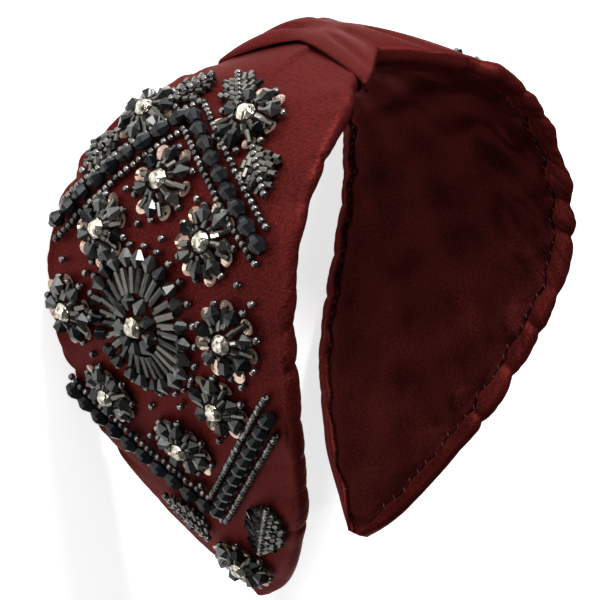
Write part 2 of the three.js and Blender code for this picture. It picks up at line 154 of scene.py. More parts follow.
def cover_section(along, phase, front_depth, back_depth):
    """Across and out of every point round a cover's section, at every station."""
    front, back = edges(along)
    stitched = ease(along, GATHER_START, GATHER_FULL) * (1 - TIP_CALM * ease(along, TIP_START, TIP_END))

    def edge(width, sign):
        scale = np.minimum(1, TIP_HEM_SHARE * width / SEAM_INSET)
        inner = (width - ROLL * scale)[:, None]
        top = face_level(along, sign * inner[:, 0])[:, None]
        angle = np.linspace(0.5, -0.5, ROLL_STEPS + 2)[1:-1] * np.pi
        roll_across = inner + ROLL * scale[:, None] * np.cos(angle)
        roll_out = (top - HEM_DEPTH) / 2 + (top + HEM_DEPTH) / 2 * np.sin(angle)
        u = np.linspace(0, 1, HEM_STEPS)
        hem_across = inner + u * (ROLL * scale - seam_inset(along, width))[:, None]
        hem_out = np.ones_like(inner) * (-HEM_DEPTH - HEM_PUFF * np.sin(np.pi * u) + SEAM_SINK * u**6)
        bed = np.linspace(1, 0, BED_STEPS + 2)[1:-1]
        bed_across = hem_across[:, -1:] * bed
        bed_out = np.full_like(bed_across, SEAM_SINK - HEM_DEPTH)
        across = sign * np.concatenate((roll_across, hem_across, bed_across), axis=1)
        out = np.concatenate((roll_out, hem_out, bed_out), axis=1)
        round_roll = -ROLL_WAY * 2 * angle / np.pi
        to_seam = ROLL_WAY + (SEAM_WAY - ROLL_WAY) * u
        turned = np.concatenate((round_roll, to_seam, np.full(BED_STEPS, SEAM_WAY)))
        held = np.concatenate((np.ones(ROLL_STEPS), 1 - HEM_CALM * u**3, np.zeros(BED_STEPS)))
        return across, out, turned, held, inner

    back_across, back_out, back_turned, back_held, back_inner = edge(back, 1)
    front_across, front_out, front_turned, front_held, front_inner = edge(front, -1)
    spread = np.linspace(1, 0, FACE_STEPS)
    face_across = back_inner * spread - front_inner * (1 - spread)
    share = face_across / np.where(face_across < 0, front[:, None], back[:, None])
    tuck = PLEAT_HEIGHT * (1 - ease(along, PLEAT_START, PLEAT_END))[:, None]
    laid_over = ease(share, PLEAT_SHARE - PLEAT_STEP, PLEAT_SHARE + PLEAT_STEP)
    tuck = tuck * laid_over * (1 - share + PLEAT_SHARE)
    face_out = FACE_RISE + CROWN * (1 - share**2) + tuck
    to_back = -ROLL_WAY - (back_inner - face_across)
    to_front = -ROLL_WAY - (front_inner + face_across)

    rows = np.ones_like(along)[:, None]
    middle = np.zeros_like(rows)
    bed_out = middle + SEAM_SINK - HEM_DEPTH
    across = np.concatenate((middle, back_across[:, ::-1], face_across, front_across), axis=1)
    out = np.concatenate((bed_out, back_out[:, ::-1], face_out, front_out), axis=1)

    def gathers(turned, held, phase, depth):
        bunched = lobes(along[:, None] + GATHER_SLANT * turned, GATHER_PITCH, phase)
        fine = lobes(along[:, None] + FINE_SLANT * turned, FINE_PITCH, phase + 1)
        reach = np.exp(np.minimum(0, turned + ROLL_WAY) / FACE_REACH)
        return held * reach * depth * (bunched + FINE_DEPTH * fine * reach**2)

    at_back = gathers(rows * back_turned, back_held, phase, back_depth)[:, ::-1]
    at_front = gathers(rows * front_turned, front_held, phase + 2, front_depth)
    on_face = gathers(to_back, 1, phase, back_depth) + gathers(to_front, 1, phase + 2, front_depth)
    drift = sum(
        height * np.sin(run * along[:, None] + over * face_across + part * phase)
        for height, run, over, part in FACE_DRIFTS
    )
    moved = np.concatenate((middle, at_back, on_face + drift, at_front), axis=1) * stitched[:, None]
    slope_across = np.roll(across, -1, axis=1) - np.roll(across, 1, axis=1)
    slope_out = np.roll(out, -1, axis=1) - np.roll(out, 1, axis=1)
    size = np.maximum(np.hypot(slope_across, slope_out), 1e-6)
    return across + moved * slope_out / size, out - moved * slope_across / size


def finish_mesh(piece, points, uv):
    """Put a primitive's points where they belong, with a UV map in metres and outward faces."""
    mesh = piece.data
    mesh.vertices.foreach_set("co", np.asarray(points, dtype=np.float32).ravel())
    corners = np.empty(len(mesh.loops), dtype=np.int32)
    mesh.loops.foreach_get("vertex_index", corners)
    layer = mesh.uv_layers[0] if mesh.uv_layers else mesh.uv_layers.new()
    layer.name = "UVMap"
    layer.data.foreach_set("uv", (MM * np.asarray(uv, dtype=np.float32))[corners].ravel())
    mesh.update()
    bpy.ops.object.mode_set(mode="EDIT")
    bpy.ops.mesh.select_all(action="SELECT")
    bpy.ops.mesh.normals_make_consistent(inside=False)
    bpy.ops.object.mode_set(mode="OBJECT")
    bpy.ops.object.shade_smooth()


def primitive_points(piece):
    """A fresh primitive's points, with its place put into its mesh."""
    bpy.ops.object.transform_apply(location=True, rotation=True, scale=True)
    points = np.empty(3 * len(piece.data.vertices), dtype=np.float32)
    piece.data.vertices.foreach_get("co", points)
    return points.reshape(-1, 3).astype(float)


ARCH_START, TIP_CAP = 0.2, 0.5


def make_cover(name, side, phase, front_depth, back_depth):
    """Wrap a sphere's rings round the cover's sections, poles at the arch and the tip."""
    bpy.ops.object.select_all(action="DESELECT")
    bpy.ops.mesh.primitive_uv_sphere_add(segments=COVER_RING, ring_count=STATIONS, radius=1)
    cover = bpy.context.object
    cover.name = name
    points = primitive_points(cover)
    station = np.rint(np.arccos(np.clip(points[:, 2], -1, 1)) / np.pi * STATIONS).astype(int)
    turn = np.arctan2(points[:, 1], points[:, 0]) / (2 * np.pi)
    spot = np.rint(turn * COVER_RING).astype(int) % COVER_RING
    along = np.linspace(ARCH_START, HALF_LENGTH, STATIONS - 1)
    along = np.concatenate((along[:1], along, [HALF_LENGTH + TIP_CAP]))
    across, out = cover_section(along, phase, front_depth, back_depth)
    for pole in (0, STATIONS):
        across[pole] = across[pole].mean()
        out[pole] = out[pole].mean()
    across = np.minimum(across, REST_LEVEL)
    steps = np.hypot(np.diff(across, axis=1, prepend=0), np.diff(out, axis=1, prepend=0))
    around = np.cumsum(steps, axis=1)
    placed = band(side * along[:, None], across, out)
    uv = np.stack((along[station], around[station, spot]), axis=1)
    finish_mesh(cover, placed[station, spot], uv)
    return cover


# The satin's look: a dense weave with a fine grain, and a soft uneven sheen; the grain's glints and soft
# patches of sheen are painted into its colour.
SATIN_RED = (0.048, 0.0060, 0.0054, 1)
# The lining's red is painted darker than the covers' red, as painted shade inside the band.
SHADED_LINING_RED = (0.028, 0.0042, 0.0037, 1)


def node(tree, kind, x, y, **values):
    """Add a shader node, with its settings and the values of its inputs."""
    made = tree.nodes.new(kind)
    made.location = (x, y)
    for key, value in values.items():
        if hasattr(made, key):
            setattr(made, key, value)
        else:
            made.inputs[key.replace("_", " ")].default_value = value
    return made


def weave_group():
    """Fine grain and twill of the threads, with the grain's glints and soft blotches of sheen painted into
    the colour, and the roughness uneven with the blotches.
    """
    tree = bpy.data.node_groups.new("satin_weave", "ShaderNodeTree")
    tree.interface.new_socket("Base", in_out="INPUT", socket_type="NodeSocketColor")
    tree.interface.new_socket("Painted_sheen", in_out="INPUT", socket_type="NodeSocketFloat")
    tree.interface.new_socket("Color", in_out="OUTPUT", socket_type="NodeSocketColor")
    tree.interface.new_socket("Roughness", in_out="OUTPUT", socket_type="NodeSocketFloat")
    tree.interface.new_socket("Height", in_out="OUTPUT", socket_type="NodeSocketFloat")
    start = node(tree, "NodeGroupInput", -900, 0)
    end = node(tree, "NodeGroupOutput", 700, 0)
    where = node(tree, "ShaderNodeTexCoord", -1100, -200)
    grain = node(tree, "ShaderNodeTexNoise", -700, 200, Scale=1500.0, Detail=3.0, Roughness=0.7)
    slub_and_sheen = node(tree, "ShaderNodeTexNoise", -700, -100, Scale=55.0, Detail=3.0)
    twill = node(tree, "ShaderNodeTexWave", -700, -400, Scale=420.0, Distortion=1.5, Detail=1.0)
    twill.bands_direction = "DIAGONAL"
    for texture in (grain, slub_and_sheen, twill):
        tree.links.new(where.outputs["UV"], texture.inputs["Vector"])
    # The fine grain, painted into the colour as tiny glints.
    glint = node(tree, "ShaderNodeMapRange", -450, 200, From_Min=0.35, From_Max=0.68, To_Min=0.5, To_Max=1.7)
    # Soft patches of painted sheen: the base colour is raised and lowered with the slub noise.
    painted_sheen_patch = node(tree, "ShaderNodeMath", -450, -100, operation="MULTIPLY_ADD")
    painted_sheen_patch.inputs[2].default_value = 1.0
    spread = node(tree, "ShaderNodeMapRange", -450, -300, From_Min=0.42, From_Max=0.68, To_Min=-0.3)
    both = node(tree, "ShaderNodeMath", -200, 100, operation="MULTIPLY")
    tint = node(tree, "ShaderNodeMix", 100, 200, data_type="RGBA", blend_type="MULTIPLY")
    tint.inputs["Factor"].default_value = 1.0
    sheen = node(tree, "ShaderNodeMapRange", 100, -100, From_Min=0.3, From_Max=0.7, To_Min=0.38, To_Max=0.56)
    rise = node(tree, "ShaderNodeMath", 100, -350, operation="MULTIPLY_ADD")
    rise.inputs[1].default_value = 0.4
    links = tree.links
    links.new(grain.outputs["Fac"], glint.inputs["Value"])
    links.new(slub_and_sheen.outputs["Fac"], spread.inputs["Value"])
    links.new(spread.outputs["Result"], painted_sheen_patch.inputs[0])
    links.new(start.outputs["Painted_sheen"], painted_sheen_patch.inputs[1])
    links.new(glint.outputs["Result"], both.inputs[0])
    links.new(painted_sheen_patch.outputs["Value"], both.inputs[1])
    links.new(start.outputs["Base"], tint.inputs[6])
    links.new(both.outputs["Value"], tint.inputs[7])
    links.new(slub_and_sheen.outputs["Fac"], sheen.inputs["Value"])
    links.new(twill.outputs["Fac"], rise.inputs[0])
    links.new(grain.outputs["Fac"], rise.inputs[2])
    links.new(tint.outputs[2], end.inputs["Color"])
    links.new(sheen.outputs["Result"], end.inputs["Roughness"])
    links.new(rise.outputs["Value"], end.inputs["Height"])
    return tree


weave = weave_group()


# A satin material, with soft patches of sheen painted into its colour; the last argument sets how strong they
# are.
def satin_material(name, colour, lustre, painted_sheen):
    material = bpy.data.materials.new(name)
    material.use_nodes = True
    tree = material.node_tree
    shader = tree.nodes["Principled BSDF"]
    cloth = node(tree, "ShaderNodeGroup", -500, 100)
    cloth.node_tree = weave
    cloth.inputs["Base"].default_value = colour
    cloth.inputs["Painted_sheen"].default_value = painted_sheen
    bump = node(tree, "ShaderNodeBump", -250, -200, Strength=0.22, Distance=0.0002)
    tree.links.new(cloth.outputs["Color"], shader.inputs["Base Color"])
    tree.links.new(cloth.outputs["Roughness"], shader.inputs["Roughness"])
    tree.links.new(cloth.outputs["Height"], bump.inputs["Height"])
    tree.links.new(bump.outputs["Normal"], shader.inputs["Normal"])
    shader.inputs["Metallic"].default_value = lustre
    shader.inputs["Specular IOR Level"].default_value = 0.05
    shader.inputs["Specular Tint"].default_value = (1.0, 0.30, 0.26, 1)
    return material


satin = satin_material("wine_satin", SATIN_RED, lustre=0.45, painted_sheen=0.25)
COVERS = (  # name, side, phase of the gathers, their depth on the front and the back edge
    ("left_satin", -1, 0.4, 0.9, 1.7),
    ("right_satin", 1, 1.3, 1.6, 1.1),
)
for cover_name, side, *gathering in COVERS:
    cover = make_cover(cover_name, side, *gathering)
    cover.data.materials.append(satin)
    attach(cover, "root")
    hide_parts("left_cover" if side < 0 else "right_cover")

# Lining: one piece of satin from tip to tip inside the band, its red painted darker as shade inside the band
# and its sheen patches painted stronger, cut to its outline and felled down along the hems. It lies slack on
# the padding, with soft wrinkles off the gathers.
LINING_END, LINING_LEVEL, LINING_CLOTH = 182.5, -2.75, 0.5
LINING_COLUMNS, LINING_ROWS = 330, 56
SLACK_START, SLACK_FULL, SLACK_DEEPEST = 22, 36, 0.9
SLACK_TIP_START, SLACK_TIP_END, SLACK_TIP_CALM = 138, 165, 0.7
PUCKER_HEIGHT, PUCKER_PITCH, PUCKER_REACH, PUCKER_DRAG = 1.4, 12.0, 9.0, 0.5
FOLD_HEIGHT, FOLD_EDGE = 1.0, 6.0
TUCK_HEIGHT, TUCK_REACH = 1.3, 1.3  # the edge is drawn down into the seam


def lining_points(points):
    """Lay a flat grid from -1 to 1 inside the band, puckered at the seams and folded between them."""
    along = points[:, 0] * LINING_END
    share = points[:, 1]
    front, back = edges(along)
    width = np.where(share < 0, front, back)
    inset = width - seam_inset(np.abs(along), width)
    across = share * (inset + 0.2)
    length = np.abs(along)
    free = ease(length, SLACK_START, SLACK_FULL)
    lower = 1 - SLACK_TIP_CALM * ease(length, SLACK_TIP_START, SLACK_TIP_END)
    off_seam = (1 - np.abs(share)) * inset
    pulled = np.exp(-off_seam / PUCKER_REACH) * np.minimum(1, off_seam / 2.0)
    drag = np.where(share < 0, -1, 1) * PUCKER_DRAG * off_seam
    puckers = lobes(length + drag, PUCKER_PITCH, 0.7 + np.where(share < 0, 2.0, 0.0) + (along < 0))
    folds = np.sin(0.21 * along + 0.16 * across + 0.5) * np.sin(0.09 * along - 0.13 * across)
    folds = folds + 0.5 * np.sin(0.33 * along - 0.24 * across + 1.1)
    folds = folds + 0.9 * ease(-share, 0.1, 0.8) * np.sin(0.36 * along + 0.3 * across)
    slack = PUCKER_HEIGHT * pulled * puckers + FOLD_HEIGHT * folds * np.minimum(1, off_seam / FOLD_EDGE)
    tucked = TUCK_HEIGHT * np.exp(-off_seam / TUCK_REACH)
    out = LINING_LEVEL + tucked - free * np.maximum(lower * slack, -SLACK_DEEPEST)
    return band(along, across, out), np.stack((along, across), axis=1)


bpy.ops.object.select_all(action="DESELECT")
bpy.ops.mesh.primitive_grid_add(x_subdivisions=LINING_COLUMNS, y_subdivisions=LINING_ROWS, size=2)
lining = bpy.context.object
lining.name = "satin_lining"
lining_placed, lining_uv = lining_points(primitive_points(lining))
finish_mesh(lining, lining_placed, lining_uv)
thick = lining.modifiers.new("cloth", "SOLIDIFY")
thick.thickness = LINING_CLOTH * MM
thick.offset = 0
bpy.ops.object.modifier_apply(modifier=thick.name)
lining.data.materials.append(satin_material("lining_satin", SHADED_LINING_RED, lustre=0.6, painted_sheen=0.45))
lining_at = np.linspace(0, LINING_END, 400)
lining_width = sum(width - seam_inset(lining_at, width) for width in edges(lining_at))
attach(lining, "root")
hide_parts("lining")

# Knot wrap: a sleeve of satin pulled tight round the drawn-in middle of the band and closed
# inside. It puffs over the crest, spreads towards the edges, and creases where it is drawn round.
WRAP_AROUND, WRAP_ALONG = 180, 88
WRAP_CLOTH, WRAP_PUFF, WRAP_HUMP, WRAP_INNER = 0.9, 0.5, 3.6, -3.8
WRAP_FLARE, WRAP_EDGE_LEVEL, WRAP_ROUND = 1.3, -0.5, 0.55
WRAP_RIPPLE, WRAP_INNER_RIPPLE = 0.22, 0.25
CREASE_START, CREASE_FULL = 0.12, 0.45  # share of the width at which the creases set in
CREASES = (  # column at the crest, column at the edge, side across, depth, width
    (-0.35, -0.62, 1, 1.3, 0.10),
    (0.15, 0.30, 1, 0.8, 0.10),
    (0.55, 0.72, 1, 0.6, 0.08),
    (-0.45, -0.70, -1, 0.9, 0.09),
    (-0.05, -0.12, -1, 0.8, 0.11),
    (0.40, 0.55, -1, 1.0, 0.09),
)


def wrap_points(points):
    """Draw a torus out into the sleeve: its outer half is the outside, its inner half the inside."""
    around = np.arctan2(points[:, 1], points[:, 0])
    section = np.arctan2(points[:, 2], np.hypot(points[:, 0], points[:, 1]) - 1)
    outer = np.abs(section) < np.pi / 2 - 1e-4
    inner = np.abs(section) > np.pi / 2 + 1e-4
    grown = np.where(outer, 1.0, np.where(inner, 0.0, 0.5))
    column = np.where(inner, np.sign(section) * (np.pi - np.abs(section)), section) / (np.pi / 2)
    share = np.cos(around)
    half = WRAP_HALF_CREST + (WRAP_HALF_EDGE - WRAP_HALF_CREST) * np.abs(share) ** WRAP_FLARE
    along = column * half
    front, back = edges(along)
    across = share * (np.where(share < 0, front, back) + 2 * GAP + grown * WRAP_WALL)
    tuck = PLEAT_HEIGHT * (1 - PLEAT_SHARE - np.abs(share))
    cover = FACE_RISE + CROWN * (1 - share**2) + tuck + GAP
    puffed = WRAP_CLOTH + WRAP_PUFF * (1 - column**2) * (1 - 0.6 * share**2)
    for crest, edge, sign, depth, width in CREASES:
        line = crest + (edge - crest) * np.abs(share)
        crease = depth * np.exp(-(((column - line) / width) ** 2))
        puffed = puffed - crease * ease(sign * share, CREASE_START, CREASE_FULL)
    puffed = puffed + WRAP_HUMP * ease(share, 0.0, 0.7) * (1 - 0.5 * column**2)
    puffed = puffed * (1 - 0.75 * np.abs(column) ** 7)
    puffed = puffed + WRAP_RIPPLE * np.sin(5 * column + 3 * share) * (1 - column**2)
    top = cover + grown * puffed
    ripple = WRAP_INNER_RIPPLE * (np.sin(7 * column + 4 * share) - 1)
    bottom = WRAP_INNER - grown * (WRAP_WALL + ripple)
    above = np.sin(around) >= 0
    rounding = np.abs(np.sin(around)) ** WRAP_ROUND
    out = WRAP_EDGE_LEVEL + (np.where(above, top, bottom) - WRAP_EDGE_LEVEL) * rounding
    uv = np.stack((along, 30 * around + 40 * grown), axis=1)
    return band(along, across, out), uv


bpy.ops.object.select_all(action="DESELECT")
bpy.ops.mesh.primitive_torus_add(
    major_segments=WRAP_AROUND, minor_segments=WRAP_ALONG, major_radius=1, minor_radius=0.25
)
wrap = bpy.context.object
wrap.name = "satin_knot_wrap"
wrap_placed, wrap_uv = wrap_points(primitive_points(wrap))
finish_mesh(wrap, wrap_placed, wrap_uv)
wrap.data.materials.append(satin)
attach(wrap, "root")
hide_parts("knot_wrap")

# Chevron strings: on each half two pointed chevrons, each of a row of jet crystals between two
# rows of metal-coated seed beads, strung on thread and couched down on the satin.
CHEVRONS = (  # name, apex along and across, heading, run of the front and the back arm, ends across
    ("upper", 47.5, 5.0, 1, 0.68, 1.07, -29.0, 34.5),
    ("lower", 143.0, -2.5, -1, 1.43, 0.65, -33.0, 37.0),
)
SEED, JET_BEAD = 1.0, 2.05  # bead radii
SEED_PITCH, JET_PITCH = 1.75, 4.7
CHEVRON_ROWS = (("inner_seeds", 0.0, SEED), ("crystals", 3.1, JET_BEAD), ("outer_seeds", 6.2, SEED))


def take():
    """Points in millimetres and faces of the bead just modelled, which is then put away."""
    bead = bpy.context.object
    points = primitive_points(bead)
    faces = [tuple(face.vertices) for face in bead.data.polygons]
    bpy.data.objects.remove(bead, do_unlink=True)
    return points, faces


def pick(bead, chosen):
    """Select only the chosen points of the bead, in edit mode."""
    bpy.ops.object.mode_set(mode="EDIT")
    bpy.ops.mesh.select_mode(type="VERT")
    bpy.ops.mesh.select_all(action="DESELECT")
    bpy.ops.object.mode_set(mode="OBJECT")
    for vertex in bead.data.vertices:
        vertex.select = chosen(vertex.co)
    bpy.ops.object.mode_set(mode="EDIT")


def model_seed(radius):
    """Round seed bead along X, pierced."""
    bpy.ops.object.select_all(action="DESELECT")
    bpy.ops.mesh.primitive_torus_add(
        major_segments=9, minor_segments=6, major_radius=0.56 * radius, minor_radius=0.44 * radius,
        rotation=(0, math.pi / 2, 0),
    )
    bpy.ops.object.transform_apply(location=True, rotation=True, scale=True)
    pick(bpy.context.object, lambda co: True)
    bpy.ops.transform.resize(value=(1.75, 1, 1))
    bpy.ops.object.mode_set(mode="OBJECT")
    return take()


def model_crystal(radius, length, sides, end, waist):
    """Cut crystal along X: full round its waist, drawn in to both ends."""
    bpy.ops.object.select_all(action="DESELECT")
    bpy.ops.mesh.primitive_cylinder_add(
        vertices=sides, radius=radius, depth=length, rotation=(0, math.pi / 2, 0), end_fill_type="NGON"
    )
    crystal = bpy.context.object
    bpy.ops.object.transform_apply(location=True, rotation=True, scale=True)
    bpy.ops.object.mode_set(mode="EDIT")
    for cut in (-waist, waist) if waist else (0,):
        bpy.ops.mesh.select_all(action="SELECT")
        bpy.ops.mesh.bisect(plane_co=(cut * length / 2, 0, 0), plane_no=(1, 0, 0))
    pick(crystal, lambda co: abs(co.x) > 0.45 * length)
    bpy.ops.transform.resize(value=(1, end, end))
    bpy.ops.object.mode_set(mode="OBJECT")
    return take()


seed_bead = model_seed(SEED)
jet_bead = model_crystal(JET_BEAD, length=4.8, sides=8, end=0.5, waist=0.2)


def lay(side, along, across, height, heading, tilt=0.0, roll=0.0):
    """Places on a cover's face: bead axes and origins, heading measured from along to across."""
    spread = np.broadcast_arrays(along, across, height, heading, tilt, roll)
    along, across, height, heading, tilt, roll = spread
    level = face_level(along, across)
    here = band(side * along, across, level)
    forward = band(side * (along + 0.5), across, level) - here
    sideways = band(side * along, across + 0.5, face_level(along, across + 0.5)) - here
    forward = forward / np.linalg.norm(forward, axis=-1, keepdims=True)
    outward = side * np.cross(forward, sideways)
    outward = outward / np.linalg.norm(outward, axis=-1, keepdims=True)
    sideways = side * np.cross(outward, forward)
    flat = np.cos(heading)[..., None] * forward + np.sin(heading)[..., None] * sideways
    axis = np.cos(tilt)[..., None] * flat + np.sin(tilt)[..., None] * outward
    up = np.cos(tilt)[..., None] * outward - np.sin(tilt)[..., None] * flat
    third = np.cross(up, axis)
    turned = np.cos(roll)[..., None] * third + np.sin(roll)[..., None] * up
    up = np.cos(roll)[..., None] * up - np.sin(roll)[..., None] * third
    return np.stack((axis, turned, up), axis=-1), here + MM * height[..., None] * outward


def string_beads(name, groups):
    """One mesh of beads from groups of (bead, (axes, origins), material, smooth, tones)."""
    points, faces, tones, materials, smooth = [], [], [], [], []
    used = []
    count = 0
    for (shape, shape_faces), (axes, origins), material, is_smooth, bead_tones in groups:
        if material not in used:
            used.append(material)
        for axes_one, origin, tone in zip(axes, origins, bead_tones):
            placed = MM * shape @ axes_one.T + origin
            placed[:, 2] -= min(0, placed[:, 2].min() - 0.2 * MM)
            points.append(placed)
            faces.extend(tuple(count + i for i in face) for face in shape_faces)
            tones.append(np.full(len(shape), tone))
            materials.extend([used.index(material)] * len(shape_faces))
            smooth.extend([is_smooth] * len(shape_faces))
            count += len(shape)
    mesh = bpy.data.meshes.new(name)
    mesh.from_pydata(np.concatenate(points).tolist(), [], faces)
    for material in used:
        mesh.materials.append(material)
    mesh.polygons.foreach_set("material_index", materials)
    mesh.polygons.foreach_set("use_smooth", smooth)
    mesh.attributes.new("tone", "FLOAT", "POINT").data.foreach_set("value", np.concatenate(tones))
    mesh.update()
    beads = bpy.data.objects.new(name, mesh)
    bpy.context.collection.objects.link(beads)
    return beads


def bead_group():
    """Each bead its own shade, with fine streaks in the glass or coating."""
    tree = bpy.data.node_groups.new("bead_shade", "ShaderNodeTree")
    for socket, kind in (("Dark", "Color"), ("Light", "Color"), ("Gloss", "Float"), ("Streak", "Float")):
        tree.interface.new_socket(socket, in_out="INPUT", socket_type="NodeSocket" + kind)
    for socket, kind in (("Color", "Color"), ("Roughness", "Float"), ("Height", "Float")):
        tree.interface.new_socket(socket, in_out="OUTPUT", socket_type="NodeSocket" + kind)
    start = node(tree, "NodeGroupInput", -700, 0)
    end = node(tree, "NodeGroupOutput", 500, 0)
    tone = node(tree, "ShaderNodeAttribute", -700, 300, attribute_name="tone")
    where = node(tree, "ShaderNodeTexCoord", -900, -300)
    flaw = node(tree, "ShaderNodeTexNoise", -700, -300, Scale=900.0, Detail=3.0)
    shade = node(tree, "ShaderNodeMath", -400, 200, operation="MULTIPLY_ADD")
    shade.use_clamp = True
    mix = node(tree, "ShaderNodeMix", -100, 200, data_type="RGBA")
    scuff = node(tree, "ShaderNodeMath", -100, -100, operation="MULTIPLY_ADD")
    scuff.inputs[1].default_value = 0.07
    links = tree.links
    links.new(where.outputs["Object"], flaw.inputs["Vector"])
    links.new(flaw.outputs["Fac"], shade.inputs[0])
    links.new(start.outputs["Streak"], shade.inputs[1])
    links.new(tone.outputs["Fac"], shade.inputs[2])
    links.new(shade.outputs["Value"], mix.inputs["Factor"])
    links.new(start.outputs["Dark"], mix.inputs[6])
    links.new(start.outputs["Light"], mix.inputs[7])
    links.new(flaw.outputs["Fac"], scuff.inputs[0])
    links.new(start.outputs["Gloss"], scuff.inputs[2])
    links.new(mix.outputs[2], end.inputs["Color"])
    links.new(scuff.outputs["Value"], end.inputs["Roughness"])
    links.new(flaw.outputs["Fac"], end.inputs["Height"])
    return tree


bead_shade = bead_group()


def bead_material(name, dark, light, gloss, metallic, streak=0.5, relief=0.1, specular=0.4):
    material = bpy.data.materials.new(name)
    material.use_nodes = True
    tree = material.node_tree
    shader = tree.nodes["Principled BSDF"]
    shade = node(tree, "ShaderNodeGroup", -500, 100)
    shade.node_tree = bead_shade
    shade.inputs["Dark"].default_value = (*dark, 1)
    shade.inputs["Light"].default_value = (*light, 1)
    shade.inputs["Gloss"].default_value = gloss
    shade.inputs["Streak"].default_value = streak
    bump = node(tree, "ShaderNodeBump", -250, -200, Strength=relief, Distance=0.0002)
    tree.links.new(shade.outputs["Color"], shader.inputs["Base Color"])
    tree.links.new(shade.outputs["Roughness"], shader.inputs["Roughness"])
    tree.links.new(shade.outputs["Height"], bump.inputs["Height"])
    tree.links.new(bump.outputs["Normal"], shader.inputs["Normal"])
    shader.inputs["Metallic"].default_value = metallic
    shader.inputs["Specular IOR Level"].default_value = specular
    return material


seed_metal = bead_material(
    "seed_coating", dark=(0.03, 0.029, 0.029), light=(0.20, 0.19, 0.18), gloss=0.14, metallic=0.9
)
jet_glass = bead_material(
    "jet_glass", dark=(0.002, 0.0022, 0.0025), light=(0.008, 0.009, 0.010), gloss=0.04, metallic=0.0,
    specular=0.2,
)


def chevron_places(side, chevron, offset, radius, pitch):
    """Beads at an even pitch from the front end over the apex to the back end."""
    _, along, across, heading, front, back, front_end, back_end = chevron
    shift = offset * (math.hypot(1, back) - math.hypot(1, front)) / (front + back)
    apex_across = across + shift
    apex_along = along - heading * (offset * math.hypot(1, front) + front * shift)
    front_length = (apex_across - front_end) * math.hypot(1, front)
    back_length = (back_end - apex_across) * math.hypot(1, back)
    count = int(round((front_length + back_length) / pitch))
    reached = np.linspace(-front_length, back_length, count)
    reach = np.where(reached < 0, reached / math.hypot(1, front), reached / math.hypot(1, back))
    slope = np.where(reach < 0, -front, back)
    lying = apex_along + heading * slope * reach
    direction = np.arctan2(np.ones(count), heading * slope)
    return lay(side, lying, apex_across + reach, radius + GAP, direction), count


rng = np.random.default_rng(7)
HALVES = (("left", -1), ("right", 1))
for half, side in HALVES:
    for chevron in CHEVRONS:
        for row, offset, radius in CHEVRON_ROWS:
            is_seed = row != "crystals"
            pitch = SEED_PITCH if is_seed else JET_PITCH
            (axes, origins), count = chevron_places(side, chevron, offset, radius, pitch)
            wobble = rng.normal(0, 0.08, (count, 3)) * MM
            bead = seed_bead if is_seed else jet_bead
            metal = seed_metal if is_seed else jet_glass
            tones = rng.uniform(-0.2, 0.7, count)
            beads = string_beads(
                f"{half}_{chevron[0]}_{row}_string", [(bead, (axes, origins + wobble), metal, is_seed, tones)]
            )
            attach(beads, "root")
            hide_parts(f"{half}_{chevron[0]}_{row}")

# Sunburst rosettes: a cut stone in a ring of bicone crystals, rays of bugle beads round them,
# and a ring of bicones at the rays' ends, each held by a seed bead. All sewn on one by one.
ROSETTE_ALONG, ROSETTE_ACROSS = 91.5, 3.5
BICONE, BICONE_LENGTH = 2.0, 4.3
STONE_RADIUS = 2.7


def model_bugle(radius, length):
    """Glass tube bead along X, its ends sunk in to show the bore."""
    bpy.ops.object.select_all(action="DESELECT")
    bpy.ops.mesh.primitive_cylinder_add(
        vertices=8, radius=radius, depth=length, rotation=(0, math.pi / 2, 0), end_fill_type="NGON"
    )
    bugle = bpy.context.object
    bpy.ops.object.transform_apply(location=True, rotation=True, scale=True)
    for end in (-1, 1):
        bpy.ops.object.mode_set(mode="EDIT")
        bpy.ops.mesh.select_mode(type="FACE")
        bpy.ops.mesh.select_all(action="DESELECT")
        bpy.ops.object.mode_set(mode="OBJECT")
        for face in bugle.data.polygons:
            face.select = face.normal.x * end > 0.9
        bpy.ops.object.mode_set(mode="EDIT")
        bpy.ops.mesh.inset(thickness=0.4 * radius)
        bpy.ops.mesh.extrude_region_move(TRANSFORM_OT_translate={"value": (-end * 0.5, 0, 0)})
        bpy.ops.object.mode_set(mode="OBJECT")
    return take()


def model_stone(radius):
    """Round brilliant with its back at 0: pavilion, girdle, poked crown facets and a table."""
    bpy.ops.object.select_all(action="DESELECT")
    bpy.ops.mesh.primitive_cylinder_add(
        vertices=10, radius=radius, depth=1.5 * radius, location=(0, 0, 0.75 * radius), end_fill_type="NGON"
    )
    stone = bpy.context.object
    bpy.ops.object.transform_apply(location=True, rotation=True, scale=True)
    bpy.ops.object.mode_set(mode="EDIT")
    bpy.ops.mesh.select_all(action="SELECT")
    bpy.ops.mesh.bisect(plane_co=(0, 0, 1.0 * radius), plane_no=(0, 0, 1))
    pick(stone, lambda co: co.z > 1.3 * radius)
    bpy.ops.transform.resize(value=(0.56, 0.56, 1))
    bpy.ops.transform.rotate(value=math.pi / 10, orient_axis="Z", center_override=(0, 0, 0))
    pick(stone, lambda co: co.z < 0.2 * radius)
    bpy.ops.transform.resize(value=(0.82, 0.82, 1))
    bpy.ops.mesh.select_all(action="SELECT")
    bpy.ops.mesh.quads_convert_to_tris()
    bpy.ops.object.mode_set(mode="OBJECT")
    return take()


